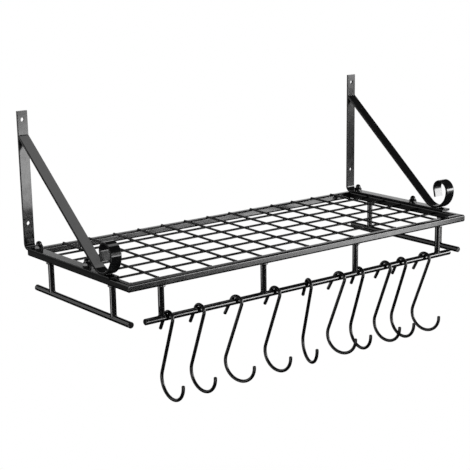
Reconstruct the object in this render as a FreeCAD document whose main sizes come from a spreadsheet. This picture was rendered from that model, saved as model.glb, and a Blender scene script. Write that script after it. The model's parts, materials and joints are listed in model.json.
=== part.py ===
"""Wall-mounted pot rack: a wire-floored tray on two scrolled wall brackets, with a hook rail below it.

Millimetres. +X is to the right seen from the front, the front faces -Y and +Z is up.
The wall is the plane Y = 0, and the origin is the middle of the four wall screw holes on it.
"""
import FreeCAD, Part
import math
import os
import Sketcher

from FreeCAD import Placement, Rotation, Vector

SIZES = {
    # Tray frame, mitred from square tube
    "rack_width": 738,
    "rack_depth": 308,
    "tube_size": 12.7,
    "tube_wall": 1.2,
    "tube_corner": 3,
    # Wire floor of the tray
    "wire_size": 3.8,
    "wire_gap": 0.1,
    "wire_lap": 2,
    "long_wire_pitch": 45.3,
    # Round rods that hang below the tray on posts
    "rod_size": 10.3,
    "rod_bevel": 1,
    "rod_drop": 66,
    "rod_inset": 7,
    "front_rod_inset": 31.5,
    "side_rod_rear": 13,
    "side_rod_front": 6.5,
    "post_size": 10,
    "post_gap": 0.15,
    "front_post_outer": 63.5,
    "front_post_inner": 102,
    "side_post_rear": 64,
    "side_post_front": 56,
    # Wall straps, each one flat bar with a standing leg and a base leg
    "strap_width": 19,
    "strap_thick": 4,
    "strap_corner": 0.8,
    "strap_overhang": 6.5,
    "strap_height": 232.5,
    "strap_reach": 264,
    "strap_bend": 6.5,
    "hole_rise": 44,
    "hole_below_top": 14.5,
    "screw_hole": 7,
    # Braces, each one flat bar from the standing leg down to a scroll on the base leg
    "brace_below_top": 39.5,
    "scroll_front": 272,
    "scroll_sweep": 32,
    "scroll_crown": 18,
    "scroll_tuck": 14,
    "scroll_tail": 14,
    "scroll_curl_angle": 13,
    # Studs, washers and cap nuts that clamp the base legs to the side tubes
    "stud_rear": 29,
    "stud_front": 181,
    "stud_size": 6,
    "stud_room": 0.4,
    "stud_grip": 6,
    "washer_size": 14.6,
    "washer_thick": 1.5,
    "nut_flats": 12.7,
    "nut_hex": 5.4,
    "nut_shoulder": 11,
    "nut_neck": 1.6,
    "nut_dome": 5,
    "nut_room": 0.1,
    # S-hooks of round wire
    "hook_wire": 5.6,
    "hook_seat": 0.65,
    "hook_loop": 10.5,
    "hook_loop_shift": 1.2,
    "hook_leg": 31,
    "hook_leg_angle": 27,
    "hook_depth": 135,
    "hook_bowl": 30,
    "hook_bowl_shift": 7.6,
    "hook_nose": 27,
    "hook_tip": 3.5,
    "hook_round": 1.5,
    # Where each S-hook hangs, along the front rod from its landmark
    "hook_along_01": 12.2,
    "hook_along_02": 71.9,
    "hook_along_03": -58.3,
    "hook_along_04": -79,
    "hook_along_05": -5.2,
    "hook_along_06": 64,
    "hook_along_07": 9.2,
    "hook_along_08": 71.9,
    "hook_along_09": 111.8,
    "hook_along_10": -34.4,
    # How many degrees each S-hook is turned about the upright
    "hook_01_angle": 1,
    "hook_02_angle": 6,
    "hook_03_angle": 18,
    "hook_04_angle": 9,
    "hook_05_angle": -16,
    "hook_06_angle": 16,
    "hook_07_angle": -5,
    "hook_08_angle": 8,
    "hook_09_angle": 0,
    "hook_10_angle": 12,
}
CROSS_WIRES = 13
LONG_WIRES = 5

# The place on the front rod that each hook is measured from, left to right
HOOK_LANDMARKS = [
    "left_post",
    "left_post",
    "left_inner_post",
    "middle",
    "middle",
    "middle",
    "right_inner_post",
    "right_inner_post",
    "right_inner_post",
    "right_post",
]

doc = FreeCAD.newDocument("PotRack")
sheet = doc.addObject("Spreadsheet::Sheet", "Sizes")


def write_sizes():
    """Puts every driving dimension in the sheet, one aliased cell each."""
    for row, (alias, size) in enumerate(SIZES.items(), 1):
        sheet.set(f"A{row}", alias)
        sheet.set(f"B{row}", str(size))
        sheet.setAlias(f"B{row}", alias)
    doc.recompute()


def size(alias):
    return float(sheet.get(alias))


def value_of(expression):
    """The present value of an expression as a plain number, lengths in millimetres and angles in degrees."""
    present = sheet.evalExpression(expression)
    return float(getattr(present, "Value", present))


write_sizes()

# Expressions that several pieces share
HALF_WIDTH = "Sizes.rack_width / 2"
HOLE_PITCH = "(Sizes.strap_height - Sizes.hole_rise - Sizes.hole_below_top)"
FRAME_TOP = f"-(Sizes.hole_rise + {HOLE_PITCH} / 2)"
STRAP_TOP = f"({FRAME_TOP} + Sizes.strap_height)"
BRACE_TOP = f"({STRAP_TOP} - Sizes.brace_below_top)"
FRAME_UNDER = f"({FRAME_TOP} - Sizes.tube_size)"
FRAME_BORE = "(Sizes.tube_size - 2 * Sizes.tube_wall)"
BASE_TOP = f"({FRAME_TOP} + Sizes.strap_thick)"
TUBE_CENTRE_X = "(Sizes.rack_width / 2 - Sizes.tube_size / 2)"
STRAP_CENTRE_X = "(Sizes.rack_width / 2 + Sizes.strap_overhang - Sizes.strap_width / 2)"
ROD_Z = f"({FRAME_TOP} - Sizes.rod_drop)"
SIDE_ROD_X = "(Sizes.rack_width / 2 - Sizes.rod_inset)"
FRONT_ROD_Y = "(Sizes.rod_inset - Sizes.rack_depth)"
OUTER_POST_X = "(Sizes.rack_width / 2 - Sizes.front_post_outer)"
LANDMARKS = {
    "left_post": f"-{OUTER_POST_X}",
    "left_inner_post": "-Sizes.front_post_inner",
    "middle": "0",
    "right_inner_post": "Sizes.front_post_inner",
    "right_post": OUTER_POST_X,
}
SIDES = {"left": -1, "right": 1}
STUD_STATIONS = ["stud_rear", "stud_front"]
TURNS = {
    "X": Rotation(Vector(0, 1, 0), 90),
    "Y": Rotation(Vector(1, 0, 0), -90),
    "Z": Rotation(),
}
parts = []


def place(item, x, y, z, rotation=Rotation()):
    """Puts an object's origin at three expressions."""
    item.Placement = Placement(Vector(), rotation)
    for axis, expression in zip("xyz", (x, y, z)):
        item.setExpression(f"Placement.Base.{axis}", expression)
    return item


def cylinder(name, diameter, length, x, y, z, axis="Z"):
    """A round bar that starts at x, y, z and runs along +axis."""
    bar = doc.addObject("Part::Cylinder", name)
    bar.setExpression("Radius", f"({diameter}) / 2")
    bar.setExpression("Height", length)
    return place(bar, x, y, z, TURNS[axis])


def box(name, length, width, height, x, y, z, rotation=Rotation()):
    block = doc.addObject("Part::Box", name)
    for side, expression in zip(("Length", "Width", "Height"), (length, width, height)):
        block.setExpression(side, expression)
    return place(block, x, y, z, rotation)


def fuse(name, shapes):
    joined = doc.addObject("Part::MultiFuse", name)
    joined.Shapes = shapes
    return joined


def cut(name, base, tools):
    """The base with every tool taken out of it."""
    remainder = doc.addObject("Part::Cut", name)
    remainder.Base = base
    remainder.Tool = tools[0] if len(tools) == 1 else fuse(f"{name}_tools", tools)
    return remainder


def group(name, shapes):
    """Identical loose pieces kept together as one part."""
    pieces = doc.addObject("Part::Compound", name)
    pieces.Links = shapes
    return pieces


def sketch_on(body, name, role):
    """A sketch on one of the body's own origin planes."""
    sketch = body.newObject("Sketcher::SketchObject", name)
    plane = next(feature for feature in body.Origin.OriginFeatures if feature.Role == role)
    sketch.AttachmentSupport = [(plane, "")]
    sketch.MapMode = "FlatFace"
    return sketch


def bind(sketch, name, expression, kind, *where):
    """Adds a dimension to a sketch at its present value and drives it from the sheet."""
    present = value_of(expression)
    if kind == "Angle":
        present = math.radians(present)
    index = sketch.addConstraint(Sketcher.Constraint(kind, *where, present))
    sketch.renameConstraint(index, name)
    sketch.setExpression(f"Constraints.{name}", expression)


def line(sketch, start, end):
    """Adds a line and returns its index and its two ends in path order."""
    index = sketch.addGeometry(Part.LineSegment(Vector(*start, 0), Vector(*end, 0)))
    return index, 1, 2


def arc(sketch, centre, radius, start, end):
    """Adds an arc in degrees, clockwise where the end is below the start, with its ends in path order."""
    circle = Part.Circle(Vector(*centre, 0), Vector(0, 0, 1), radius)
    low, high = sorted((start, end))
    index = sketch.addGeometry(Part.ArcOfCircle(circle, math.radians(low), math.radians(high)))
    return (index, 1, 2) if end > start else (index, 2, 1)


def join_smoothly(sketch, pieces):
    """Makes each piece of a path run on tangent into the next."""
    for (first, _, end), (second, start, _) in zip(pieces, pieces[1:]):
        sketch.addConstraint(Sketcher.Constraint("Tangent", first, end, second, start))


def sweep(body, name, section, path):
    pipe = body.newObject("PartDesign::AdditivePipe", name)
    pipe.Profile = section
    pipe.Spine = (path, [f"Edge{number}" for number in range(1, path.GeometryCount + 1)])
    body.Tip = pipe
    return body


def round_section(body, y, z, diameter):
    """The wire's section, level, where an upright end of its path is."""
    section = sketch_on(body, f"{body.Name}_section", "XY_Plane")
    section.setExpression("AttachmentOffset.Base.y", y)
    section.setExpression("AttachmentOffset.Base.z", z)
    section.addGeometry(Part.Circle(Vector(), Vector(0, 0, 1), size("hook_wire") / 2))
    section.addConstraint(Sketcher.Constraint("Coincident", 0, 3, -1, 1))
    bind(section, "wire", diameter, "Diameter", 0)
    return section


def draw_rounded(sketch, name, width, height, corner):
    """Draws a rectangle with equal round corners about the sketch's origin, from three expressions."""
    half_width, half_height, radius = value_of(width) / 2, value_of(height) / 2, value_of(corner)
    across, up = half_width - radius, half_height - radius
    sides = [
        ((-across, -half_height), (across, -half_height)),
        ((half_width, -up), (half_width, up)),
        ((across, half_height), (-across, half_height)),
        ((-half_width, up), (-half_width, -up)),
    ]
    centres = [(across, -up), (across, up), (-across, up), (-across, -up)]
    pieces = []
    for quarter, (side, centre) in enumerate(zip(sides, centres)):
        pieces.append(line(sketch, *side))
        pieces.append(arc(sketch, centre, radius, 90 * quarter - 90, 90 * quarter))
    join_smoothly(sketch, pieces + pieces[:1])
    bottom, first, right, second, top, third, left, fourth = (piece[0] for piece in pieces)
    for side in (bottom, top):
        sketch.addConstraint(Sketcher.Constraint("Horizontal", side))
    for side in (right, left):
        sketch.addConstraint(Sketcher.Constraint("Vertical", side))
    for other in (second, third, fourth):
        sketch.addConstraint(Sketcher.Constraint("Equal", first, other))
    sketch.addConstraint(Sketcher.Constraint("Symmetric", first, 3, third, 3, -1, 1))
    bind(sketch, f"{name}_corner", corner, "Radius", first)
    bind(sketch, f"{name}_flat_across", f"{width} - 2 * {corner}", "Distance", bottom)
    bind(sketch, f"{name}_flat_up", f"{height} - 2 * {corner}", "Distance", right)


def flat_section(body, y, z, tilt="0 deg"):
    """The flat bar's section, centred where its path ends and tilted from level with that end."""
    section = sketch_on(body, f"{body.Name}_section", "XY_Plane")
    section.AttachmentOffset = Placement(Vector(), Rotation(Vector(1, 0, 0), -1))
    section.setExpression("AttachmentOffset.Base.y", y)
    section.setExpression("AttachmentOffset.Base.z", z)
    section.setExpression("AttachmentOffset.Rotation.Angle", tilt)
    draw_rounded(section, "bar", "Sizes.strap_width", "Sizes.strap_thick", "Sizes.strap_corner")
    return section


def rail(name, length, x, y, angle, drilled=()):
    """A mitred square tube whose outer long face passes through x, y, with the holes drilled in it.

    It is drawn along X with its outer long face on Y = 0 and its underside on Z = 0, then turned and moved.
    """
    body = doc.addObject("PartDesign::Body", f"{name}_bar")
    section = sketch_on(body, f"{name}_section", "YZ_Plane")
    for axis, expression in zip("xyz", ("Sizes.tube_size / 2", "Sizes.tube_size / 2", f"-({length}) / 2")):
        section.setExpression(f"AttachmentOffset.Base.{axis}", expression)
    draw_rounded(section, "outside", "Sizes.tube_size", "Sizes.tube_size", "Sizes.tube_corner")
    draw_rounded(section, "bore", FRAME_BORE, FRAME_BORE, "(Sizes.tube_corner - Sizes.tube_wall)")
    pad = body.newObject("PartDesign::Pad", f"{name}_pad")
    pad.Profile = section
    pad.setExpression("Length", length)
    body.Tip = pad
    mitre_block = ("2 * Sizes.tube_size", "4 * Sizes.tube_size", "3 * Sizes.tube_size")
    right_mitre = box(f"{name}_right_mitre", *mitre_block, f"({length}) / 2 + Sizes.tube_size / sqrt(2)",
                      "-Sizes.tube_size / sqrt(2)", "-Sizes.tube_size", Rotation(Vector(0, 0, 1), 45))
    left_mitre = box(f"{name}_left_mitre", *mitre_block, f"3 * Sizes.tube_size / sqrt(2) - ({length}) / 2",
                     "3 * Sizes.tube_size / sqrt(2)", "-Sizes.tube_size", Rotation(Vector(0, 0, 1), 135))
    tube = cut(f"{name}_tube" if drilled else name, body, [right_mitre, left_mitre])
    place(tube, x, y, FRAME_UNDER, Rotation(Vector(0, 0, 1), angle))
    parts.append(cut(name, tube, list(drilled)) if drilled else tube)


def stud_x(side):
    return f"{SIDES[side]} * {TUBE_CENTRE_X}"


def stud_holes(name, side, z, depth):
    """Round tools for the two stud holes on one side, from z upwards."""
    return [cylinder(f"{name}_{station}_hole", "Sizes.stud_size + Sizes.stud_room", depth,
                     stud_x(side), f"-Sizes.{station}", z) for station in STUD_STATIONS]


def make_frame():
    rail("front_rail", "Sizes.rack_width", "0", "-Sizes.rack_depth", 0)
    rail("back_rail", "Sizes.rack_width", "0", "0", 180)
    for side, sign in SIDES.items():
        top_wall = f"{FRAME_TOP} - 2 * Sizes.tube_wall"
        holes = stud_holes(f"{side}_rail", side, top_wall, "3 * Sizes.tube_wall")
        rail(f"{side}_rail", "Sizes.rack_depth", f"{sign} * {HALF_WIDTH}", "-Sizes.rack_depth / 2",
             sign * 90, holes)


def make_floor():
    """Cross wires from the front rail, flush with its top, up on to the back rail, and long wires below."""
    inner_width = "(Sizes.rack_width - 2 * Sizes.tube_size)"
    front_y = "(Sizes.tube_size + Sizes.wire_gap - Sizes.rack_depth)"
    front_z = f"({FRAME_TOP} - Sizes.wire_size / 2)"
    run = "(Sizes.rack_depth - 2 * Sizes.tube_size + Sizes.wire_lap - Sizes.wire_gap)"
    rise = "(Sizes.wire_size + Sizes.wire_gap)"
    for number in range(1, CROSS_WIRES + 1):
        share = number / (CROSS_WIRES + 1)
        wire = cylinder(f"cross_wire_{number:02d}", "Sizes.wire_size", f"sqrt({run} ^ 2 + {rise} ^ 2)",
                        f"{inner_width} * ({share} - 0.5)", front_y, front_z, "Y")
        wire.setExpression("Placement.Rotation.Angle", f"atan2({rise}; {run}) - 90 deg")
        parts.append(wire)
    for number in range(1, LONG_WIRES + 1):
        steps = number - (LONG_WIRES + 1) / 2
        y = f"(-Sizes.rack_depth / 2 - {steps} * Sizes.long_wire_pitch)"
        parts.append(cylinder(f"long_wire_{number}", "Sizes.wire_size", inner_width, f"-{inner_width} / 2", y,
                              f"{front_z} + {rise} * ({y} - {front_y}) / {run}"
                              " - Sizes.wire_size - Sizes.wire_gap", "X"))


def cone(name, bottom, top, height, x, y, z):
    """A round taper that stands upright on x, y, z."""
    taper = doc.addObject("Part::Cone", name)
    taper.setExpression("Radius1", f"({bottom}) / 2")
    taper.setExpression("Radius2", f"({top}) / 2")
    taper.setExpression("Height", height)
    return place(taper, x, y, z)


def rod(name, length, x, y, axis):
    """A round bar with bevelled ends that starts at x, y and runs along +axis."""
    tip = "Sizes.rod_size - 2 * Sizes.rod_bevel"
    near = cone(f"{name}_near_end", tip, "Sizes.rod_size", "Sizes.rod_bevel", "0", "0", "0")
    bar = cylinder(f"{name}_bar", "Sizes.rod_size", f"{length} - 2 * Sizes.rod_bevel",
                   "0", "0", "Sizes.rod_bevel")
    far = cone(f"{name}_far_end", "Sizes.rod_size", tip, "Sizes.rod_bevel",
               "0", "0", f"{length} - Sizes.rod_bevel")
    parts.append(place(fuse(name, [near, bar, far]), x, y, ROD_Z, TURNS[axis]))


def post(name, x, y, rod_axis):
    """An upright from the underside of the frame down to a rod, saddled over the rod."""
    bar = cylinder(f"{name}_bar", "Sizes.post_size", f"{FRAME_UNDER} - {ROD_Z}", x, y, ROD_Z)
    groove = "Sizes.rod_size + 2 * Sizes.post_gap"
    span = "2 * Sizes.post_size"
    if rod_axis == "X":
        saddle = cylinder(f"{name}_saddle", groove, span, f"{x} - Sizes.post_size", y, ROD_Z, "X")
    else:
        saddle = cylinder(f"{name}_saddle", groove, span, x, f"{y} - Sizes.post_size", ROD_Z, "Y")
    parts.append(cut(name, bar, [saddle]))


def make_rods():
    rod("front_rod", "Sizes.rack_width - 2 * Sizes.front_rod_inset",
        f"Sizes.front_rod_inset - {HALF_WIDTH}", FRONT_ROD_Y, "X")
    front_posts = ["left_post", "left_inner_post", "right_inner_post", "right_post"]
    for number, landmark in enumerate(front_posts, 1):
        post(f"front_post_{number}", LANDMARKS[landmark], FRONT_ROD_Y, "X")
    for side, sign in SIDES.items():
        x = f"{sign} * {SIDE_ROD_X}"
        rod(f"{side}_rod", "Sizes.rack_depth - Sizes.side_rod_rear - Sizes.side_rod_front",
            x, "Sizes.side_rod_front - Sizes.rack_depth", "Y")
        post(f"{side}_rear_post", x, "-Sizes.side_post_rear", "Y")
        post(f"{side}_front_post", x, "(Sizes.side_post_front - Sizes.rack_depth)", "Y")


def wall_strap(side):
    """One flat bar: a leg up the wall with two screw holes, a bend, and a base leg along the side tube."""
    name = f"{side}_wall_strap"
    body = doc.addObject("PartDesign::Body", f"{name}_bar")
    path = sketch_on(body, f"{name}_path", "YZ_Plane")
    top = value_of(STRAP_TOP)
    middle = size("strap_thick") / 2
    radius = size("strap_bend") + middle
    low = top - size("strap_height") + middle
    pieces = [
        line(path, (-middle, top), (-middle, low + radius)),
        arc(path, (-middle - radius, low + radius), radius, 360, 270),
        line(path, (-middle - radius, low), (-size("strap_reach"), low)),
    ]
    join_smoothly(path, pieces)
    path.addConstraint(Sketcher.Constraint("Vertical", 0))
    path.addConstraint(Sketcher.Constraint("Horizontal", 2))
    bind(path, "bend", "Sizes.strap_bend + Sizes.strap_thick / 2", "Radius", 1)
    bind(path, "leg_in", "-Sizes.strap_thick / 2", "DistanceX", -1, 1, 0, 1)
    bind(path, "leg_top", STRAP_TOP, "DistanceY", -1, 1, 0, 1)
    bind(path, "base_up", f"{FRAME_TOP} + Sizes.strap_thick / 2", "DistanceY", -1, 1, 2, 2)
    bind(path, "base_end", "-Sizes.strap_reach", "DistanceX", -1, 1, 2, 2)
    section = flat_section(body, "-Sizes.strap_thick / 2", STRAP_TOP)
    sweep(body, f"{name}_sweep", section, path)
    x = f"{SIDES[side]} * {STRAP_CENTRE_X}"
    body.setExpression("Placement.Base.x", x)
    screws = [cylinder(f"{name}_{end}_screw_hole", "Sizes.screw_hole", "3 * Sizes.strap_thick",
                       x, "-2 * Sizes.strap_thick", f"{sign} * {HOLE_PITCH} / 2", "Y")
              for end, sign in (("upper", 1), ("lower", -1))]
    studs = stud_holes(name, side, f"{FRAME_TOP} - Sizes.strap_thick", "3 * Sizes.strap_thick")
    parts.append(cut(name, body, screws + studs))


def brace(side):
    """One flat bar that slopes from the standing leg to the base leg and curls up and back into a scroll."""
    name = f"{side}_brace"
    body = doc.addObject("PartDesign::Body", f"{name}_bar")
    path = sketch_on(body, f"{name}_path", "YZ_Plane")
    sweep_radius, crown, tuck = size("scroll_sweep"), size("scroll_crown"), size("scroll_tuck")
    front = -size("scroll_front")
    sweep_centre = (front + sweep_radius, value_of(BASE_TOP) + size("strap_thick") / 2 + sweep_radius)
    crown_centre = (front + crown, sweep_centre[1])
    tuck_centre = (crown_centre[0], crown_centre[1] + crown - tuck)
    curl = math.radians(size("scroll_curl_angle"))
    tail_top = (tuck_centre[0] + tuck * math.cos(curl), tuck_centre[1] - tuck * math.sin(curl))
    tail_end = (tail_top[0] - size("scroll_tail") * math.sin(curl),
                tail_top[1] - size("scroll_tail") * math.cos(curl))
    wall_end = (0.0, value_of(BRACE_TOP))
    rise = (wall_end[0] - sweep_centre[0], wall_end[1] - sweep_centre[1])
    slope = math.atan2(rise[1], rise[0]) - math.asin(-sweep_radius / math.hypot(*rise))
    touch_angle = math.degrees(slope) - 90
    touch = (sweep_centre[0] + sweep_radius * math.cos(math.radians(touch_angle)),
             sweep_centre[1] + sweep_radius * math.sin(math.radians(touch_angle)))
    pieces = [
        line(path, tail_end, tail_top),
        arc(path, tuck_centre, tuck, -size("scroll_curl_angle"), 90),
        arc(path, crown_centre, crown, 90, 180),
        arc(path, sweep_centre, sweep_radius, 180, 360 + touch_angle),
        line(path, touch, wall_end),
    ]
    join_smoothly(path, pieces)
    path.addConstraint(Sketcher.Constraint("Vertical", 1, 3, 1, 2))
    path.addConstraint(Sketcher.Constraint("Horizontal", 2, 3, 2, 2))
    bind(path, "tail", "Sizes.scroll_tail", "Distance", 0)
    bind(path, "tail_slope", "(90 - Sizes.scroll_curl_angle) * 1 deg", "Angle", 0)
    bind(path, "tuck", "Sizes.scroll_tuck", "Radius", 1)
    bind(path, "crown", "Sizes.scroll_crown", "Radius", 2)
    bind(path, "sweep", "Sizes.scroll_sweep", "Radius", 3)
    bind(path, "sweep_in", "Sizes.scroll_sweep - Sizes.scroll_front", "DistanceX", -1, 1, 3, 3)
    bind(path, "sweep_up", f"{BASE_TOP} + Sizes.strap_thick / 2 + Sizes.scroll_sweep",
         "DistanceY", -1, 1, 3, 3)
    bind(path, "wall_end_up", BRACE_TOP, "DistanceY", -1, 1, 4, 2)
    path.addConstraint(Sketcher.Constraint("PointOnObject", 4, 2, -2))
    curl_sine, curl_cosine = (f"{ratio}(Sizes.scroll_curl_angle * 1 deg)" for ratio in ("sin", "cos"))
    section = flat_section(
        body, "Sizes.scroll_crown - Sizes.scroll_front"
        f" + Sizes.scroll_tuck * {curl_cosine} - Sizes.scroll_tail * {curl_sine}",
        f"{BASE_TOP} + Sizes.strap_thick / 2 + Sizes.scroll_sweep + Sizes.scroll_crown"
        f" - Sizes.scroll_tuck * (1 + {curl_sine}) - Sizes.scroll_tail * {curl_cosine}",
        "-Sizes.scroll_curl_angle * 1 deg")
    sweep(body, f"{name}_sweep", section, path)
    x = f"{SIDES[side]} * {STRAP_CENTRE_X}"
    body.setExpression("Placement.Base.x", x)
    wall_side = box(f"{name}_wall_side", "2 * Sizes.strap_width", "10 * Sizes.strap_thick",
                    "20 * Sizes.strap_thick", f"{x} - Sizes.strap_width", "-Sizes.strap_thick",
                    f"{BRACE_TOP} - 10 * Sizes.strap_thick")
    parts.append(cut(name, body, [wall_side]))


def cap_nut(name, x, y):
    """A hexagon with a tapered shoulder, a domed cap and a blind bore, standing on its washer."""
    seat = f"{BASE_TOP} + Sizes.washer_thick"
    flats = doc.addObject("Part::Prism", f"{name}_hexagon")
    flats.Polygon = 6
    flats.setExpression("Circumradius", "Sizes.nut_flats / sqrt(3)")
    flats.setExpression("Height", "Sizes.nut_hex")
    place(flats, x, y, seat)
    taper = cone(f"{name}_taper", "Sizes.nut_shoulder + 2 * Sizes.nut_hex", "Sizes.nut_shoulder",
                 "Sizes.nut_hex", x, y, seat)
    hexagon = doc.addObject("Part::MultiCommon", f"{name}_tapered_hexagon")
    hexagon.Shapes = [flats, taper]
    neck = cylinder(f"{name}_neck", "2 * Sizes.nut_dome", "Sizes.nut_hex + Sizes.nut_neck", x, y, seat)
    dome = doc.addObject("Part::Sphere", f"{name}_dome")
    dome.setExpression("Radius", "Sizes.nut_dome")
    place(dome, x, y, f"{seat} + Sizes.nut_hex + Sizes.nut_neck")
    bore = cylinder(f"{name}_bore", "Sizes.stud_size + 2 * Sizes.nut_room",
                    "Sizes.stud_grip + Sizes.nut_room", x, y, seat)
    outside = fuse(f"{name}_outside", [hexagon, neck, dome])
    return cut(name, outside, [bore])


def make_fasteners():
    """Studs stand in the side tubes and pass through the base legs. Washers and cap nuts clamp them."""
    studs, washers, nuts = [], [], []
    stud_foot = f"{FRAME_UNDER} + Sizes.tube_wall"
    stud_length = (f"Sizes.tube_size - Sizes.tube_wall + Sizes.strap_thick + Sizes.washer_thick"
                   " + Sizes.stud_grip")
    for side in SIDES:
        x = stud_x(side)
        for station in STUD_STATIONS:
            y = f"-Sizes.{station}"
            name = f"{side}_{station}"
            studs.append(cylinder(name, "Sizes.stud_size", stud_length, x, y, stud_foot))
            disc = cylinder(f"{name}_disc", "Sizes.washer_size", "Sizes.washer_thick", x, y, BASE_TOP)
            eye = cylinder(f"{name}_eye", "Sizes.stud_size + Sizes.stud_room", "3 * Sizes.washer_thick",
                           x, y, f"{BASE_TOP} - Sizes.washer_thick")
            washers.append(cut(f"{name}_washer", disc, [eye]))
            nuts.append(cap_nut(f"{name}_nut", x, y))
    parts.append(group("studs", studs))
    parts.append(group("washers", washers))
    parts.append(group("cap_nuts", nuts))


def round_ends(body):
    """Rounds off the two cut ends of a hook's wire."""
    wire = body.Tip
    doc.recompute()
    ends = [f"Face{number}" for number, face in enumerate(wire.Shape.Faces, 1)
            if isinstance(face.Surface, Part.Plane)]
    rounded = body.newObject("PartDesign::Fillet", f"{body.Name}_round")
    rounded.Base = (wire, ends)
    rounded.setExpression("Radius", "Sizes.hook_round")
    body.Tip = rounded


def s_hook(number, landmark):
    """An S-hook on the front rod: a short leg behind, a loop over the top, a shaft and a wide bowl in front.

    It is drawn about the rod's axis with its front towards -Y, then turned about the upright and moved along.
    """
    name = f"s_hook_{number:02d}"
    body = doc.addObject("PartDesign::Body", name)
    path = sketch_on(body, f"{name}_path", "YZ_Plane")
    loop, bowl, nose = size("hook_loop"), size("hook_bowl"), size("hook_nose")
    loop_top = (size("rod_size") + size("hook_wire")) / 2 + size("hook_seat")
    loop_centre = (-size("hook_loop_shift"), loop_top - loop)
    bowl_centre = (-size("hook_bowl_shift"), bowl - size("hook_depth"))
    nose_centre = (bowl_centre[0], nose - size("hook_depth"))
    nose_front = nose_centre[0] - nose
    across = (bowl_centre[0] - loop_centre[0], bowl_centre[1] - loop_centre[1])
    span = math.hypot(*across)
    shaft_angle = math.degrees(math.atan2(across[1], across[0]) + math.asin((loop + bowl) / span))
    leg_angle = size("hook_leg_angle")

    def on_circle(centre, radius, degrees):
        return (centre[0] + radius * math.cos(math.radians(degrees)),
                centre[1] + radius * math.sin(math.radians(degrees)))

    bowl_end = shaft_angle + 90
    loop_start = shaft_angle + 270
    leg_start = on_circle(loop_centre, loop, leg_angle)
    leg_end = (leg_start[0] + size("hook_leg") * math.sin(math.radians(leg_angle)),
               leg_start[1] - size("hook_leg") * math.cos(math.radians(leg_angle)))
    pieces = [
        line(path, (nose_front, nose_centre[1] + size("hook_tip")), (nose_front, nose_centre[1])),
        arc(path, nose_centre, nose, 180, 270),
        arc(path, bowl_centre, bowl, -90, bowl_end),
        line(path, on_circle(bowl_centre, bowl, bowl_end), on_circle(loop_centre, loop, loop_start)),
        arc(path, loop_centre, loop, loop_start, leg_angle),
        line(path, leg_start, leg_end),
    ]
    join_smoothly(path, pieces)
    path.addConstraint(Sketcher.Constraint("Vertical", 0))
    path.addConstraint(Sketcher.Constraint("Vertical", 2, 3, 2, 1))
    bind(path, "tip", "Sizes.hook_tip", "Distance", 0)
    bind(path, "nose", "Sizes.hook_nose", "Radius", 1)
    bind(path, "bowl", "Sizes.hook_bowl", "Radius", 2)
    bind(path, "bowl_out", "-Sizes.hook_bowl_shift", "DistanceX", -1, 1, 2, 3)
    bind(path, "bowl_down", "Sizes.hook_bowl - Sizes.hook_depth", "DistanceY", -1, 1, 2, 3)
    bind(path, "loop", "Sizes.hook_loop", "Radius", 4)
    bind(path, "loop_out", "-Sizes.hook_loop_shift", "DistanceX", -1, 1, 4, 3)
    bind(path, "loop_up", "(Sizes.rod_size + Sizes.hook_wire) / 2 + Sizes.hook_seat - Sizes.hook_loop",
         "DistanceY", -1, 1, 4, 3)
    bind(path, "leg", "Sizes.hook_leg", "Distance", 5)
    bind(path, "leg_slope", "(Sizes.hook_leg_angle - 90) * 1 deg", "Angle", 5)
    section = round_section(body, "-Sizes.hook_bowl_shift - Sizes.hook_nose",
                            "Sizes.hook_nose + Sizes.hook_tip - Sizes.hook_depth", "Sizes.hook_wire")
    sweep(body, f"{name}_sweep", section, path)
    round_ends(body)
    place(body, f"{LANDMARKS[landmark]} + Sizes.hook_along_{number:02d}", FRONT_ROD_Y, ROD_Z)
    body.setExpression("Placement.Rotation.Angle", f"Sizes.hook_{number:02d}_angle * 1 deg")
    parts.append(body)


def check_document():
    """Stops before anything is written where an object is broken."""
    for item in doc.Objects:
        if "Invalid" in item.State or "Error" in item.State:
            raise RuntimeError(f"{item.Label} is not valid: {item.State}")
    for item in parts:
        if item.Shape.isNull() or not item.Shape.isValid() or item.Shape.Volume <= 0:
            raise RuntimeError(f"{item.Label} has no sound shape")


make_frame()
make_floor()
make_rods()
for side in SIDES:
    wall_strap(side)
    brace(side)
make_fasteners()
for number, landmark in enumerate(HOOK_LANDMARKS, 1):
    s_hook(number, landmark)
doc.recompute()
check_document()

os.makedirs("parts", exist_ok=True)
for item in parts:
    item.Shape.exportStep(f"parts/{item.Label}.step")
    print(f"{item.Label}: {item.Shape.Volume:.0f} mm3 in {len(item.Shape.Solids)} solid(s)")
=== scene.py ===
"""Looks of the wall-mounted pot rack: black coats, weld beads, studio light and the photograph's camera."""
import json
import math
import random
from collections import namedtuple

import bmesh
import bpy
from mathutils import Matrix, Vector

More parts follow.
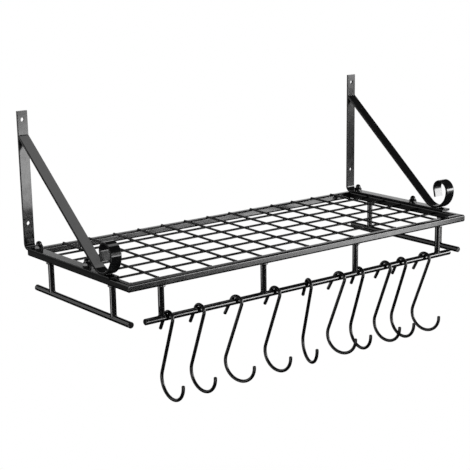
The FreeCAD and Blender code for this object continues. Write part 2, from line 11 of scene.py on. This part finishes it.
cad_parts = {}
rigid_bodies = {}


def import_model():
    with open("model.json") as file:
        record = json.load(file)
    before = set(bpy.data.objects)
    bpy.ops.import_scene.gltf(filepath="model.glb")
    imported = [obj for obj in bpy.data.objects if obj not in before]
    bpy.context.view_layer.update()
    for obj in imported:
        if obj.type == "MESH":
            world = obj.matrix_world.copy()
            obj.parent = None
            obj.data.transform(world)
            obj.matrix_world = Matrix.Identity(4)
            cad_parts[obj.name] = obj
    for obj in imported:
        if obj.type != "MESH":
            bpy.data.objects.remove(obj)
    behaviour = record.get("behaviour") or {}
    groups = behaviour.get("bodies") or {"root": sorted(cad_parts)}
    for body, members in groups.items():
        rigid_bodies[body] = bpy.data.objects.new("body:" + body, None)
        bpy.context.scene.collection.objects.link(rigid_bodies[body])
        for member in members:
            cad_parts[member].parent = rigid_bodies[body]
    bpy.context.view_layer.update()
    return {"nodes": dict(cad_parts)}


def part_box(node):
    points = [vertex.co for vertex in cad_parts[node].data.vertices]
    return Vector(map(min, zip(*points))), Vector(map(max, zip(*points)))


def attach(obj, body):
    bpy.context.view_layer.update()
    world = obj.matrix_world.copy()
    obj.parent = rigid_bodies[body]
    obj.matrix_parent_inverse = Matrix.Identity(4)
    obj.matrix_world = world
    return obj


for leftover in list(bpy.data.objects):
    bpy.data.objects.remove(leftover)
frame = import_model()
nodes = frame["nodes"]

MM = 0.001
MICRON = 0.000001

# The camera fitted to the photograph, with its angles in degrees
CAMERA_PLACE = (-1.392167, -1.899184, 0.388046)
CAMERA_YAW = -37.609
CAMERA_PITCH = -15.324
CAMERA_ROLL = -0.958
CAMERA_LENS = 99.625
CAMERA_SENSOR = 36
CAMERA_SHIFT = 0.1

# The studio: a round floor with a wall, a dim ceiling and a black card just over the floor
WHITE = (1, 1, 1, 1)
FLOOR_COLOUR = (0.9, 0.9, 0.9, 1)
FLOOR_HEIGHT = -1.3
STAGE_RADIUS = 9.0
STAGE_WALL = 3.5
STAGE_SIDES = 96
CEILING = 0.04
CARD_COLOUR = (0.01, 0.01, 0.01, 1)
CARD_RADIUS = 8.5
CARD_LIFT = 0.05
# The floor's share of plain white, which fades the shadow out between two distances from its middle
FADE_DISTANCES = (0.5, 1.6)
FADE_SHARES = (0.85, 1.0)

# Colours of the coats
BLACK = (0.004, 0.004, 0.0043, 1)
SOFT_BLACK = (0.008, 0.008, 0.0084, 1)
RUBBED = (0.03, 0.03, 0.031, 1)
# Most values of a noise lie in this range
NOISE_RANGE = (0.3, 0.7)
# An edge shows where the rounded and the true normal agree less than the second value, fully at the first
EDGE_WIDTH = 0.5 * MM
EDGE_SAMPLES = 4
EDGE_AGREEMENT = (0.8, 0.97)
EDGE_PATCHES = (0.4, 0.65)
EDGE_WEAR = 0.8
# The grain of the orange peel changes the gloss a little, and lies over waves of several grains
GRAIN_GLOSS = 0.015
GRAINS_TO_WAVE = 6
WAVE_HEIGHT = 2.0
PEEL_STRENGTH = 0.5

# Sizes of the rack that its boxes don't show
STRAP_THICK = 4 * MM
TUBE_CORNER = 3 * MM
SCROLL_SEAT = 34 * MM
BRACE_END = 5.1 * MM

# A bead's ripples, unevenness and thinner ends are shares of its radius
Bead = namedtuple("Bead", "radius pitch points")
BEAD_SIDES = 12
BEAD_RIPPLE = 0.1
BEAD_UNEVEN = 0.04
BEAD_TAPER = 0.65

# Beads round the top of a post, out from its side and a little below its end
TopWeld = namedtuple("TopWeld", "radii pitch points out sink")
OUTER_WELD = TopWeld((1.9 * MM, 2.3 * MM), pitch=2.4 * MM, points=25, out=0.6 * MM, sink=0.4 * MM)
INNER_WELD = TopWeld((1.2 * MM, 1.5 * MM), pitch=2.0 * MM, points=21, out=0.3 * MM, sink=0.3 * MM)
INNER_HALF_ANGLE = 50
# From where to where the weld on the outer side of each post runs round it, in degrees from +X
POST_WELDS = {
    **{f"front_post_{number}": (-130, 0) for number in range(1, 5)},
    **{f"left_{end}_post": (220, 90) for end in ("rear", "front")},
    **{f"right_{end}_post": (-40, 90) for end in ("rear", "front")},
}
SADDLE_BEAD = Bead(1.2 * MM, pitch=1.6 * MM, points=17)
SADDLE_HALF_ANGLE = 60

# Beads across the braces
BRACE_BEAD = Bead(1.1 * MM, pitch=1.8 * MM, points=30)
BRACE_INSET = 1.2 * MM
BRACE_TOP_SINK = 0.2 * MM
SEAT_HALF = 5 * MM
SEAT_RISE = 0.1 * MM

# Beads at the ends of the wires, and spots where they cross
COLLAR_BEAD = Bead(0.6 * MM, pitch=1.2 * MM, points=13)
LAP_BEAD = Bead(0.7 * MM, pitch=1.2 * MM, points=9)
LAP_LENGTH = 1.4 * MM
LAP_SIDE_POINTS = 4
LAP_RISE = 0.3 * MM
SPOT_RADIUS = 1.7 * MM
SPOT_RISE = 0.7 * MM
SPOT_DETAIL = 2

# Seams along part of the frame's mitres, down the edges of its front corners and inside these
SEAM_BEAD = Bead(0.5 * MM, pitch=1.4 * MM, points=24)
SEAM_SHARES = (0.12, 0.92)
SEAM_SINK = 0.25 * MM
CORNER_BEAD = Bead(1.55 * MM, pitch=1.4 * MM, points=24)
CORNER_SHARE = 0.1
CORNER_ENDS = 1.5 * MM
FILLET_BEAD = Bead(2.6 * MM, pitch=2.2 * MM, points=24)
FILLET_OUT = 0.5 * MM
FILLET_ENDS = 0.5 * MM


class Tree:
    """The shader nodes of a material or a world."""

    def __init__(self, owner):
        owner.use_nodes = True
        self.nodes = owner.node_tree.nodes
        self.links = owner.node_tree.links
        self.nodes.clear()

    def add(self, kind, inputs=None, **settings):
        """A new node. An input is a value or the output of another node."""
        node = self.nodes.new(kind)
        for key, value in settings.items():
            setattr(node, key, value)
        for key, value in (inputs or {}).items():
            if isinstance(value, bpy.types.NodeSocket):
                self.links.new(value, node.inputs[key])
            else:
                node.inputs[key].default_value = value
        return node

    def calculate(self, operation, *values):
        return self.add("ShaderNodeMath", dict(enumerate(values)), operation=operation).outputs["Value"]

    def place(self):
        return self.add("ShaderNodeTexCoord").outputs["Object"]

    def noise(self, where, scale, detail, roughness=0.5):
        inputs = {"Vector": where, "Scale": scale, "Detail": detail, "Roughness": roughness}
        return self.add("ShaderNodeTexNoise", inputs).outputs["Fac"]

    def spread(self, value, old_range, new_range):
        """A value taken from one range to another."""
        inputs = {"Value": value}
        inputs["From Min"], inputs["From Max"] = old_range
        inputs["To Min"], inputs["To Max"] = new_range
        return self.add("ShaderNodeMapRange", inputs).outputs["Result"]

    def ramp(self, value, dark, light):
        """A colour that runs from dark to light over the range of a noise."""
        node = self.add("ShaderNodeValToRGB", {"Fac": value})
        for stop, position, colour in zip(node.color_ramp.elements, NOISE_RANGE, (dark, light)):
            stop.position = position
            stop.color = colour
        return node.outputs["Color"]


def rubbed_edges(tree, patches):
    """Up to 1 along sharp edges, where handling has rubbed the coat, broken up by the patches."""
    rounded = tree.add("ShaderNodeBevel", {"Radius": EDGE_WIDTH}, samples=EDGE_SAMPLES).outputs["Normal"]
    true = tree.add("ShaderNodeNewGeometry").outputs["Normal"]
    agreement = tree.add("ShaderNodeVectorMath", {0: rounded, 1: true}, operation="DOT_PRODUCT")
    edge = tree.spread(agreement.outputs["Value"], EDGE_AGREEMENT, (1.0, 0.0))
    return tree.calculate("MULTIPLY", edge, tree.spread(patches, EDGE_PATCHES, (0.0, EDGE_WEAR)))


def coat_colour(tree, patches):
    """Black that drifts in patches and is greyer along rubbed edges."""
    inputs = {"Factor": rubbed_edges(tree, patches), "A": tree.ramp(patches, BLACK, SOFT_BLACK), "B": RUBBED}
    return tree.add("ShaderNodeMix", inputs, data_type="RGBA").outputs["Result"]


def orange_peel(tree, grain, waves, depth):
    """The small unevenness of a baked coat."""
    height = tree.calculate("MULTIPLY_ADD", waves, WAVE_HEIGHT, grain)
    inputs = {"Strength": PEEL_STRENGTH, "Distance": depth, "Height": height}
    return tree.add("ShaderNodeBump", inputs).outputs["Normal"]


def coat(name, roughness, mottle, peel, depth, ior):
    """A black coat with mottle patches and peel grains to the metre. Depth is that of its orange peel."""
    material = bpy.data.materials.new(name)
    tree = Tree(material)
    place = tree.place()
    patches = tree.noise(place, mottle, detail=3)
    grain = tree.noise(place, peel, detail=2, roughness=0.6)
    waves = tree.noise(place, peel / GRAINS_TO_WAVE, detail=1)
    gloss = tree.spread(patches, NOISE_RANGE, roughness)
    grain_gloss = tree.spread(grain, NOISE_RANGE, (-GRAIN_GLOSS, GRAIN_GLOSS))
    shader = tree.add("ShaderNodeBsdfPrincipled", {
        "Base Color": coat_colour(tree, patches),
        "Roughness": tree.calculate("ADD", gloss, grain_gloss),
        "IOR": ior,
        "Normal": orange_peel(tree, grain, waves, depth),
    })
    tree.add("ShaderNodeOutputMaterial", {"Surface": shader.outputs["BSDF"]})
    return material


ROD_COAT = coat("rod_powder_coat", (0.11, 0.15), mottle=55, peel=700, depth=4 * MICRON, ior=1.58)
WIRE_COAT = coat("wire_powder_coat", (0.24, 0.32), mottle=90, peel=900, depth=4 * MICRON, ior=1.35)
BRACKET_COAT = coat("bracket_powder_coat", (0.12, 0.17), mottle=70, peel=600, depth=6 * MICRON, ior=1.45)
FASTENER_COAT = coat("fastener_black_zinc", (0.06, 0.10), mottle=160, peel=1500, depth=4 * MICRON, ior=1.45)
HOOK_COAT = coat("hook_powder_coat", (0.20, 0.26), mottle=80, peel=900, depth=4 * MICRON, ior=1.45)
RAIL_COAT = coat("rail_powder_coat", (0.12, 0.16), mottle=55, peel=700, depth=3 * MICRON, ior=1.5)
WELD_COAT = coat("weld_thin_coat", (0.16, 0.24), mottle=200, peel=1200, depth=6 * MICRON, ior=2.2)
SLOT_COATS = {
    "frame_coat": ROD_COAT,
    "wire_coat": WIRE_COAT,
    "bracket_coat": BRACKET_COAT,
    "fastener_coat": FASTENER_COAT,
    "hook_coat": HOOK_COAT,
}


def dress_nodes():
    """Gives the rails their own coat and other nodes that of their slot, which names their first material."""
    for name, node in nodes.items():
        slot_name = node.data.materials[0].name
        node.data.materials[0] = RAIL_COAT if name.endswith("_rail") else SLOT_COATS[slot_name]


def add_object(name, mesh):
    """Puts a mesh into the scene as a new object."""
    data = bpy.data.meshes.new(name)
    mesh.to_mesh(data)
    mesh.free()
    piece = bpy.data.objects.new(name, data)
    bpy.context.scene.collection.objects.link(piece)
    return piece


def finish_welds(mesh, name, material):
    """Makes one smooth piece of weld beads, which rides on the rack."""
    bmesh.ops.recalc_face_normals(mesh, faces=mesh.faces)
    piece = add_object(name, mesh)
    piece.data.polygons.foreach_set("use_smooth", [True] * len(piece.data.polygons))
    piece.data.materials.append(material)
    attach(piece, "rack")


def straight(start, end, count):
    """Evenly spaced points on a line."""
    return [start.lerp(end, step / (count - 1)) for step in range(count)]


def upright(place, bottom, top, count):
    """Evenly spaced points on an upright line."""
    return straight(Vector((place.x, place.y, bottom)), Vector((place.x, place.y, top)), count)


def arc(centre, radius, start, end, count):
    """Evenly spaced points on a level arc, between two angles in degrees from +X."""
    points = []
    for step in range(count):
        angle = math.radians(start + (end - start) * step / (count - 1))
        points.append(centre + radius * Vector((math.cos(angle), math.sin(angle), 0)))
    return points


def bead_ring(mesh, centre, direction, radius):
    """The points round a bead, square to its direction."""
    turn = direction.to_track_quat("Z", "X").to_matrix()
    ring = []
    for step in range(BEAD_SIDES):
        angle = 2 * math.pi * step / BEAD_SIDES
        spoke = Vector((radius * math.cos(angle), radius * math.sin(angle), 0))
        ring.append(mesh.verts.new(centre + turn @ spoke))
    return ring


def sweep_bead(mesh, path, bead, chance):
    """Adds a weld bead along a path, with the ripples of its passes, thin at both ends."""
    length = sum((after - before).length for before, after in zip(path, path[1:]))
    travelled = 0.0
    rings = []
    for index, point in enumerate(path):
        before = path[max(index - 1, 0)]
        after = path[min(index + 1, len(path) - 1)]
        travelled += (point - before).length
        fullness = math.sqrt(max(0.0, 1 - (2 * travelled / length - 1) ** 4))
        crest = abs(math.sin(math.pi * travelled / bead.pitch))
        ripple = 1 - BEAD_RIPPLE * (1 - crest) + chance.uniform(-BEAD_UNEVEN, BEAD_UNEVEN)
        taper = 1 - BEAD_TAPER * (1 - fullness)
        rings.append(bead_ring(mesh, point, after - before, bead.radius * ripple * taper))
    for ring, following in zip(rings, rings[1:]):
        for step in range(BEAD_SIDES):
            beside = (step + 1) % BEAD_SIDES
            mesh.faces.new((ring[step], ring[beside], following[beside], following[step]))
    mesh.faces.new(list(reversed(rings[0])))
    mesh.faces.new(rings[-1])


def weld_post_top(mesh, post, weld, start, end, chance):
    """A bead round part of a post's top, under the tube."""
    low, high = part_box(post)
    centre = (low + high) / 2
    centre.z = high.z - weld.sink
    path = arc(centre, (high.x - low.x) / 2 + weld.out, start, end, weld.points)
    sweep_bead(mesh, path, Bead(chance.uniform(*weld.radii), weld.pitch, weld.points), chance)


def weld_post_foot(mesh, post, chance):
    """Two beads where a post's foot sits astride its rod. The three rods are alike."""
    rod_low, rod_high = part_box("front_rod")
    rod_height = (rod_low.z + rod_high.z) / 2
    rod_radius = (rod_high.z - rod_low.z) / 2
    low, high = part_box(post)
    centre = (low + high) / 2
    along = 0 if post.startswith("front") else 1
    across = 1 - along
    for middle in (90 * along, 90 * along + 180):
        start = middle - SADDLE_HALF_ANGLE
        end = middle + SADDLE_HALF_ANGLE
        path = arc(centre, (high.x - low.x) / 2, start, end, SADDLE_BEAD.points)
        for point in path:
            point.z = rod_height + math.sqrt(rod_radius ** 2 - (point[across] - centre[across]) ** 2)
        sweep_bead(mesh, path, SADDLE_BEAD, chance)


def weld_posts(chance):
    """A bead round the outer side of each post's top, a thin one inside, and two over the rod."""
    tops, feet = bmesh.new(), bmesh.new()
    for post, (start, end) in POST_WELDS.items():
        inside = (start + end) / 2 + 180
        weld_post_top(tops, post, OUTER_WELD, start, end, chance)
        weld_post_top(tops, post, INNER_WELD, inside - INNER_HALF_ANGLE, inside + INNER_HALF_ANGLE, chance)
        weld_post_foot(feet, post, chance)
    finish_welds(tops, "post_top_welds", WELD_COAT)
    finish_welds(feet, "post_foot_welds", ROD_COAT)


def weld_braces(chance):
    """Beads across each brace, above and below its top end and on both sides of where its scroll sits."""
    mesh = bmesh.new()
    for side in ("left", "right"):
        low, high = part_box(f"{side}_brace")
        strap_low, strap_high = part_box(f"{side}_wall_strap")
        strap_face = strap_high.y - STRAP_THICK
        base_top = strap_low.z + STRAP_THICK
        seat = low.y + SCROLL_SEAT
        lines = [
            (strap_face, high.z - BRACE_TOP_SINK),
            (strap_face, high.z - BRACE_END),
            (seat - SEAT_HALF, base_top + SEAT_RISE),
            (seat + SEAT_HALF, base_top + SEAT_RISE),
        ]
        for y, z in lines:
            start = Vector((low.x + BRACE_INSET, y, z))
            end = Vector((high.x - BRACE_INSET, y, z))
            sweep_bead(mesh, straight(start, end, BRACE_BEAD.points), BRACE_BEAD, chance)
    finish_welds(mesh, "brace_welds", BRACKET_COAT)


def collar(mesh, end, axis, radius, chance):
    """A thin bead round the end of a wire that butts on a tube."""
    path = []
    for step in range(COLLAR_BEAD.points):
        angle = 2 * math.pi * step / (COLLAR_BEAD.points - 1)
        point = end.copy()
        point[1 - axis] += radius * math.cos(angle)
        point.z += radius * math.sin(angle)
        path.append(point)
    sweep_bead(mesh, path, COLLAR_BEAD, chance)


def lap_bead(mesh, end, radius, chance):
    """A bead round the end of a wire that lies on the back rail, down to the rail's rounded edge."""
    rail_low, rail_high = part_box("back_rail")
    lap = Vector((0, LAP_LENGTH, 0))
    bend = arc(end, radius, 0, 180, LAP_BEAD.points)
    there = straight(bend[0] - lap, bend[0], LAP_SIDE_POINTS)
    back = straight(bend[-1], bend[-1] - lap, LAP_SIDE_POINTS)
    path = there[:-1] + bend + back[1:]
    for point in path:
        past_edge = max(0.0, rail_low.y + TUBE_CORNER - point.y)
        drop = TUBE_CORNER - math.sqrt(TUBE_CORNER ** 2 - past_edge ** 2)
        point.z = rail_high.z - drop + LAP_RISE
    sweep_bead(mesh, path, LAP_BEAD, chance)


def spot(mesh, place):
    """A flat lens of weld between two wires."""
    squash = Matrix.Diagonal((SPOT_RADIUS, SPOT_RADIUS, SPOT_RISE, 1))
    matrix = Matrix.Translation(place) @ squash
    bmesh.ops.create_icosphere(mesh, subdivisions=SPOT_DETAIL, radius=1, matrix=matrix)


def weld_wires(chance):
    """Beads where each wire meets the frame, and a spot where two wires cross."""
    ends, spots = bmesh.new(), bmesh.new()
    long_wires = [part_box(name) for name in sorted(nodes) if name.startswith("long_wire")]
    cross_wires = [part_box(name) for name in sorted(nodes) if name.startswith("cross_wire")]
    for low, high in long_wires:
        centre = (low + high) / 2
        for x in (low.x, high.x):
            collar(ends, Vector((x, centre.y, centre.z)), 0, (high.z - low.z) / 2, chance)
    for low, high in cross_wires:
        radius = (high.x - low.x) / 2
        front = Vector((low.x + radius, low.y, low.z + radius))
        rear = Vector((low.x + radius, high.y, high.z - radius))
        collar(ends, front, 1, radius, chance)
        lap_bead(ends, rear, radius, chance)
        for long_low, long_high in long_wires:
            y = (long_low.y + long_high.y) / 2
            crossing = front.lerp(rear, (y - front.y) / (rear.y - front.y))
            crossing.z = (crossing.z - radius + long_high.z) / 2
            spot(spots, crossing)
    finish_welds(ends, "wire_end_welds", WIRE_COAT)
    finish_welds(spots, "wire_spot_welds", WIRE_COAT)


def weld_corners(chance):
    """Seams over the frame's mitres, where no strap or wall covers them, and fillets at the front."""
    seams, fillets = bmesh.new(), bmesh.new()
    low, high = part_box("front_rail")
    side_low, side_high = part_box("left_rail")
    tube = high.z - low.z
    for x, inward_x in ((low.x, 1), (high.x, -1)):
        for y, inward_y in ((side_low.y, 1), (side_high.y, -1)):
            inward = Vector((inward_x, inward_y, 0))
            corner = Vector((x, y, 0))
            inner = corner + tube * inward
            at_front = inward_y > 0
            heights = (high.z - SEAM_SINK, low.z + SEAM_SINK) if at_front else (low.z + SEAM_SINK,)
            for z in heights:
                start, end = (corner.lerp(inner, share) + Vector((0, 0, z)) for share in SEAM_SHARES)
                sweep_bead(seams, straight(start, end, SEAM_BEAD.points), SEAM_BEAD, chance)
            if at_front:
                edge = corner.lerp(inner, CORNER_SHARE)
                path = upright(edge, low.z + CORNER_ENDS, high.z - CORNER_ENDS, CORNER_BEAD.points)
                sweep_bead(seams, path, CORNER_BEAD, chance)
                inside = inner + FILLET_OUT * inward
                path = upright(inside, low.z + FILLET_ENDS, high.z - FILLET_ENDS, FILLET_BEAD.points)
                sweep_bead(fillets, path, FILLET_BEAD, chance)
    finish_welds(seams, "corner_welds", RAIL_COAT)
    finish_welds(fillets, "corner_fillets", WELD_COAT)


def background_share(tree):
    """1 for the rays that show the white background: seen, mirrored or through glass."""
    rays = tree.add("ShaderNodeLightPath").outputs
    share = rays["Is Camera Ray"]
    for other in ("Is Glossy Ray", "Is Transmission Ray"):
        share = tree.calculate("MAXIMUM", share, rays[other])
    return share


def make_world():
    """The dim ceiling of the studio."""
    world = bpy.data.worlds.new("studio")
    bpy.context.scene.world = world
    tree = Tree(world)
    dim = tree.add("ShaderNodeBackground", {"Color": WHITE, "Strength": CEILING})
    tree.add("ShaderNodeOutputWorld", {"Surface": dim.outputs["Background"]})


def floor_material():
    """Pale and matt, and plain white as a background, apart from the shadow under the rack."""
    material = bpy.data.materials.new("pale_floor")
    tree = Tree(material)
    matt = tree.add("ShaderNodeBsdfDiffuse", {"Color": FLOOR_COLOUR})
    white = tree.add("ShaderNodeEmission", {"Color": WHITE, "Strength": 1.0})
    distance = tree.add("ShaderNodeVectorMath", {0: tree.place()}, operation="LENGTH")
    fade = tree.spread(distance.outputs["Value"], FADE_DISTANCES, FADE_SHARES)
    share = tree.calculate("MULTIPLY", background_share(tree), fade)
    shaders = {1: matt.outputs["BSDF"], 2: white.outputs["Emission"]}
    mix = tree.add("ShaderNodeMixShader", {"Fac": share, **shaders})
    tree.add("ShaderNodeOutputMaterial", {"Surface": mix.outputs["Shader"]})
    return material


def make_floor():
    """A pale round floor with a white wall all round it."""
    mesh = bmesh.new()
    ring = bmesh.ops.create_circle(mesh, cap_ends=True, segments=STAGE_SIDES, radius=STAGE_RADIUS)["verts"]
    rim = {edge for vert in ring for edge in vert.link_edges}
    wall = bmesh.ops.extrude_edge_only(mesh, edges=list(rim))["geom"]
    wall_top = [item for item in wall if isinstance(item, bmesh.types.BMVert)]
    bmesh.ops.translate(mesh, verts=wall_top, vec=(0, 0, STAGE_WALL))
    floor = add_object("floor", mesh)
    floor.location = (0, 0, FLOOR_HEIGHT)
    floor.data.materials.append(floor_material())


def make_card():
    """A black card under the rack that only its gloss shows, so that the coat keeps its depth."""
    mesh = bmesh.new()
    bmesh.ops.create_circle(mesh, cap_ends=True, segments=STAGE_SIDES, radius=CARD_RADIUS)
    card = add_object("black_card", mesh)
    card.location = (0, 0, FLOOR_HEIGHT + CARD_LIFT)
    for ray in ("camera", "diffuse", "transmission", "shadow", "volume_scatter"):
        setattr(card, f"visible_{ray}", False)
    material = bpy.data.materials.new("black_card")
    tree = Tree(material)
    matt = tree.add("ShaderNodeBsdfDiffuse", {"Color": CARD_COLOUR})
    tree.add("ShaderNodeOutputMaterial", {"Surface": matt.outputs["BSDF"]})
    card.data.materials.append(material)


def softbox(name, azimuth, elevation, distance, size, radiance, roll=0):
    """A flat light that faces the rack. Azimuth 0 is in front of it and 90 to its right."""
    width, height = size
    lamp = bpy.data.lights.new(name, "AREA")
    lamp.shape = "RECTANGLE"
    lamp.size = width
    lamp.size_y = height
    lamp.energy = radiance * math.pi * width * height
    holder = bpy.data.objects.new(name, lamp)
    turn = math.radians(azimuth)
    rise = math.radians(elevation)
    level = math.cos(rise)
    outward = Vector((math.sin(turn) * level, -math.cos(turn) * level, math.sin(rise)))
    holder.matrix_world = (Matrix.Translation(outward * distance)
                           @ outward.to_track_quat("Z", "Y").to_matrix().to_4x4()
                           @ Matrix.Rotation(math.radians(roll), 4, "Z"))
    holder.visible_camera = False
    bpy.context.scene.collection.objects.link(holder)


def make_lights():
    """The bands of light that the front mirrors, and weaker lights for the left, the top and behind."""
    softbox("key", azimuth=48.8, elevation=5, distance=3.0, size=(2.4, 0.45), radiance=15.0)
    softbox("band", azimuth=35.5, elevation=-5.2, distance=3.05, size=(2.1, 0.36), radiance=9.5, roll=22.5)
    softbox("low_right", azimuth=36.5, elevation=-13.9, distance=3.12, size=(1.15, 0.18), radiance=8.5)
    softbox("low_left", azimuth=262, elevation=-14, distance=3.5, size=(1.6, 0.6), radiance=5.0)
    softbox("overhead", azimuth=90, elevation=64, distance=3.5, size=(1.4, 1.2), radiance=2.2)
    softbox("fill", azimuth=217, elevation=-13.5, distance=3.5, size=(2.0, 0.9), radiance=0.12)
    softbox("high_left", azimuth=225, elevation=27, distance=3.5, size=(2.4, 1.2), radiance=1.2)
    softbox("low_front", azimuth=315, elevation=-26, distance=2.4, size=(1.4, 0.32), radiance=4.0)


def make_camera():
    """The photograph's view."""
    lens = bpy.data.cameras.new("camera")
    lens.lens = CAMERA_LENS
    lens.sensor_width = CAMERA_SENSOR
    lens.shift_y = CAMERA_SHIFT
    camera = bpy.data.objects.new("camera", lens)
    camera.matrix_world = (Matrix.Translation(CAMERA_PLACE)
                           @ Matrix.Rotation(math.radians(CAMERA_YAW), 4, "Z")
                           @ Matrix.Rotation(math.radians(90 + CAMERA_PITCH), 4, "X")
                           @ Matrix.Rotation(math.radians(CAMERA_ROLL), 4, "Z"))
    bpy.context.scene.collection.objects.link(camera)
    bpy.context.scene.camera = camera


dress_nodes()
weld_posts(random.Random(11))
weld_braces(random.Random(12))
weld_wires(random.Random(13))
weld_corners(random.Random(14))
make_world()
make_floor()
make_card()
make_lights()
make_camera()
bpy.context.scene.view_settings.view_transform = "Standard"
